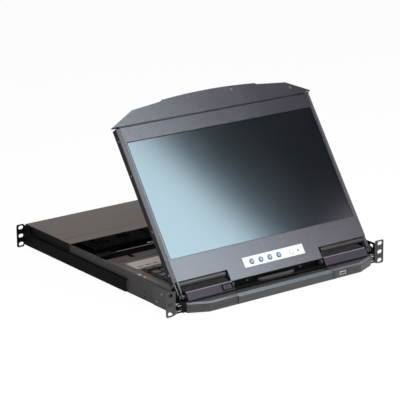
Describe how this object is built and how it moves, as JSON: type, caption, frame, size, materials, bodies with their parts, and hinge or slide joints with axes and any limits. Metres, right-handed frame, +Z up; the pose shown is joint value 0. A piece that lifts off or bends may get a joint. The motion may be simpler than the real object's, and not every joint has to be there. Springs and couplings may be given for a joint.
{
  "type": "rackmount lcd console drawer",
  "caption": "One-unit rack console: a tilting screen on its own carriage above a keyboard drawer on telescopic slides, with front ears and adjustable rear brackets.",
  "frame": {"origin": "centre of the front rack-slot pattern, on the face of the front ears", "axes": "+X to the viewer's right seen from the front, +Y to the rear of the rack, +Z up"},
  "size_m": [0.4826, 0.5067, 0.3197],
  "materials": {
    "black_steel": "satin black powder coat",
    "cover_steel": "fine satin grey-brown paint",
    "deck_paint": "satin paint",
    "screw_zinc": "zinc",
    "black_plastic": "moulded",
    "connector_metal": "tinned shell",
    "circuit_board": "solder mask",
    "zinc_steel": "zinc plated",
    "hinge_bronze": "brown-grey coat",
    "block_plastic": "moulded",
    "catch_plastic": "moulded grey",
    "bezel_plastic": "fine satin grey",
    "shell_plastic": "fine texture",
    "screen_glass": "dark glossy",
    "panel_glass": "panel module",
    "strip_white": "white print",
    "button_blue": "blue-grey",
    "trim_grey": "light grey",
    "lamp_amber": "lamp lens",
    "key_plastic": "key cap",
    "pad_plastic": "pad",
    "handle_plastic": "satin",
    "grip_plastic": "dotted grip"
  },
  "bodies": {
    "chassis": {"chassis_tray": "black_steel", "front_ears": "black_steel", "chassis_screws": "screw_zinc", "top_cover": "cover_steel", "rear_panel": "black_steel", "power_inlet": "black_plastic", "video_ports": "connector_metal", "data_ports": "black_plastic", "main_board": "circuit_board", "power_supply": "zinc_steel", "lead_guide": "black_plastic", "carriage_rails": "zinc_steel", "slide_outers": "zinc_steel"},
    "rocker": {"power_rocker": "black_plastic"},
    "rear_bracket_left": {"rear_bracket_left": "black_steel"},
    "rear_bracket_right": {"rear_bracket_right": "black_steel"},
    "carriage": {"screen_carriage": "black_steel", "hinge_block_left": "block_plastic", "hinge_block_right": "block_plastic", "hinge_pins": "screw_zinc", "carriage_screws": "screw_zinc"},
    "tilt_catch": {"tilt_catch": "black_plastic"},
    "slide_catch": {"slide_catch": "catch_plastic"},
    "screen": {"screen_bezel": "bezel_plastic", "screen_shell": "shell_plastic", "screen_glass": "screen_glass", "screen_panel": "panel_glass", "control_board": "circuit_board", "control_strip": "strip_white", "top_plate": "bezel_plastic", "plate_screws": "screw_zinc", "hinge_arms": "zinc_steel", "hinge_bars": "hinge_bronze"},
    "slide_middles": {"slide_middles": "zinc_steel"},
    "drawer": {"slide_inners": "zinc_steel", "drawer_tray": "black_steel", "drawer_deck": "deck_paint", "deck_trim": "trim_grey", "drawer_lamps": "lamp_amber", "keyboard_base": "black_plastic", "touch_pad": "pad_plastic", "handle_centre": "handle_plastic", "handle_grip_left": "grip_plastic", "handle_grip_right": "grip_plastic", "front_usb": "connector_metal"},
    "status_button": {"status_button": "strip_white"},
    "power_button": {"power_button": "strip_white"},
    "pad_button_left": {"pad_button_left": "pad_plastic"},
    "pad_button_right": {"pad_button_right": "pad_plastic"},
    "menu_button_1": {"menu_button_1": "button_blue"},
    "menu_button_2": {"menu_button_2": "button_blue"},
    "menu_button_3": {"menu_button_3": "button_blue"},
    "menu_button_4": {"menu_button_4": "button_blue"},
    "key_row_1": {"key_row_1": "key_plastic"},
    "key_row_2": {"key_row_2": "key_plastic"},
    "key_row_3": {"key_row_3": "key_plastic"},
    "key_row_4": {"key_row_4": "key_plastic"},
    "key_row_5": {"key_row_5": "key_plastic"},
    "key_row_6": {"key_row_6": "key_plastic"}
  },
  "joints": [
    {"name": "carriage_slide", "type": "slide", "parent": "chassis", "child": "carriage", "axis": [0, 1, 0], "range_m": [0, 0.303]},
    {"name": "screen_tilt", "type": "hinge", "parent": "carriage", "child": "screen", "pos_m": [0, 0.0058, 0.00615], "axis": [1, 0, 0], "range_deg": [0, 125]},
    {"name": "drawer_slide", "type": "slide", "parent": "chassis", "child": "drawer", "axis": [0, -1, 0], "range_m": [0, 0.29]},
    {"name": "slide_middle_run", "type": "slide", "parent": "chassis", "child": "slide_middles", "axis": [0, -1, 0], "range_m": [0, 0.145]},
    {"name": "rear_bracket_left_slide", "type": "slide", "parent": "chassis", "child": "rear_bracket_left", "axis": [0, 1, 0], "range_m": [0, 0.22]},
    {"name": "rear_bracket_right_slide", "type": "slide", "parent": "chassis", "child": "rear_bracket_right", "axis": [0, 1, 0], "range_m": [0, 0.22]},
    {"name": "power_rocker_turn", "type": "hinge", "parent": "chassis", "child": "rocker", "pos_m": [0.14, 0.474, -0.00205], "axis": [1, 0, 0], "range_deg": [0, 16]},
    {"name": "tilt_catch_slide", "type": "slide", "parent": "carriage", "child": "tilt_catch", "axis": [1, 0, 0], "range_m": [0, 0.003], "stiffness_N_per_m": 500, "springref_m": -0.002},
    {"name": "slide_catch_push", "type": "slide", "parent": "carriage", "child": "slide_catch", "axis": [0, 1, 0], "range_m": [0, 0.003], "stiffness_N_per_m": 500, "springref_m": -0.002},
    {"name": "status_button_push", "type": "slide", "parent": "drawer", "child": "status_button", "axis": [0, 0, -1], "range_m": [0, 0.0006], "stiffness_N_per_m": 800, "springref_m": -0.0005},
    {"name": "menu_button_1_push", "type": "slide", "parent": "screen", "child": "menu_button_1", "axis": [0, 0.8181, -0.575], "range_m": [0, 0.0009], "stiffness_N_per_m": 800, "springref_m": -0.0005},
    {"name": "menu_button_2_push", "type": "slide", "parent": "screen", "child": "menu_button_2", "axis": [0, 0.8181, -0.575], "range_m": [0, 0.0009], "stiffness_N_per_m": 800, "springref_m": -0.0005},
    {"name": "menu_button_3_push", "type": "slide", "parent": "screen", "child": "menu_button_3", "axis": [0, 0.8181, -0.575], "range_m": [0, 0.0009], "stiffness_N_per_m": 800, "springref_m": -0.0005},
    {"name": "menu_button_4_push", "type": "slide", "parent": "screen", "child": "menu_button_4", "axis": [0, 0.8181, -0.575], "range_m": [0, 0.0009], "stiffness_N_per_m": 800, "springref_m": -0.0005},
    {"name": "power_button_push", "type": "slide", "parent": "screen", "child": "power_button", "axis": [0, 0.8181, -0.575], "range_m": [0, 0.0009], "stiffness_N_per_m": 800, "springref_m": -0.0005},
    {"name": "key_row_1_push", "type": "slide", "parent": "drawer", "child": "key_row_1", "axis": [0, 0, -1], "range_m": [0, 0.002], "stiffness_N_per_m": 1500, "springref_m": -0.001},
    {"name": "key_row_2_push", "type": "slide", "parent": "drawer", "child": "key_row_2", "axis": [0, 0, -1], "range_m": [0, 0.002], "stiffness_N_per_m": 1500, "springref_m": -0.001},
    {"name": "key_row_3_push", "type": "slide", "parent": "drawer", "child": "key_row_3", "axis": [0, 0, -1], "range_m": [0, 0.002], "stiffness_N_per_m": 1500, "springref_m": -0.001},
    {"name": "key_row_4_push", "type": "slide", "parent": "drawer", "child": "key_row_4", "axis": [0, 0, -1], "range_m": [0, 0.002], "stiffness_N_per_m": 1500, "springref_m": -0.001},
    {"name": "key_row_5_push", "type": "slide", "parent": "drawer", "child": "key_row_5", "axis": [0, 0, -1], "range_m": [0, 0.002], "stiffness_N_per_m": 1500, "springref_m": -0.001},
    {"name": "key_row_6_push", "type": "slide", "parent": "drawer", "child": "key_row_6", "axis": [0, 0, -1], "range_m": [0, 0.002], "stiffness_N_per_m": 1500, "springref_m": -0.001},
    {"name": "pad_button_left_push", "type": "slide", "parent": "drawer", "child": "pad_button_left", "axis": [0, 0, -1], "range_m": [0, 0.0008], "stiffness_N_per_m": 800, "springref_m": -0.0005},
    {"name": "pad_button_right_push", "type": "slide", "parent": "drawer", "child": "pad_button_right", "axis": [0, 0, -1], "range_m": [0, 0.0008], "stiffness_N_per_m": 800, "springref_m": -0.0005}
  ],
  "couplings": [
    {"joint": "slide_middle_run", "follows": "drawer_slide", "ratio": 0.5}
  ]
}
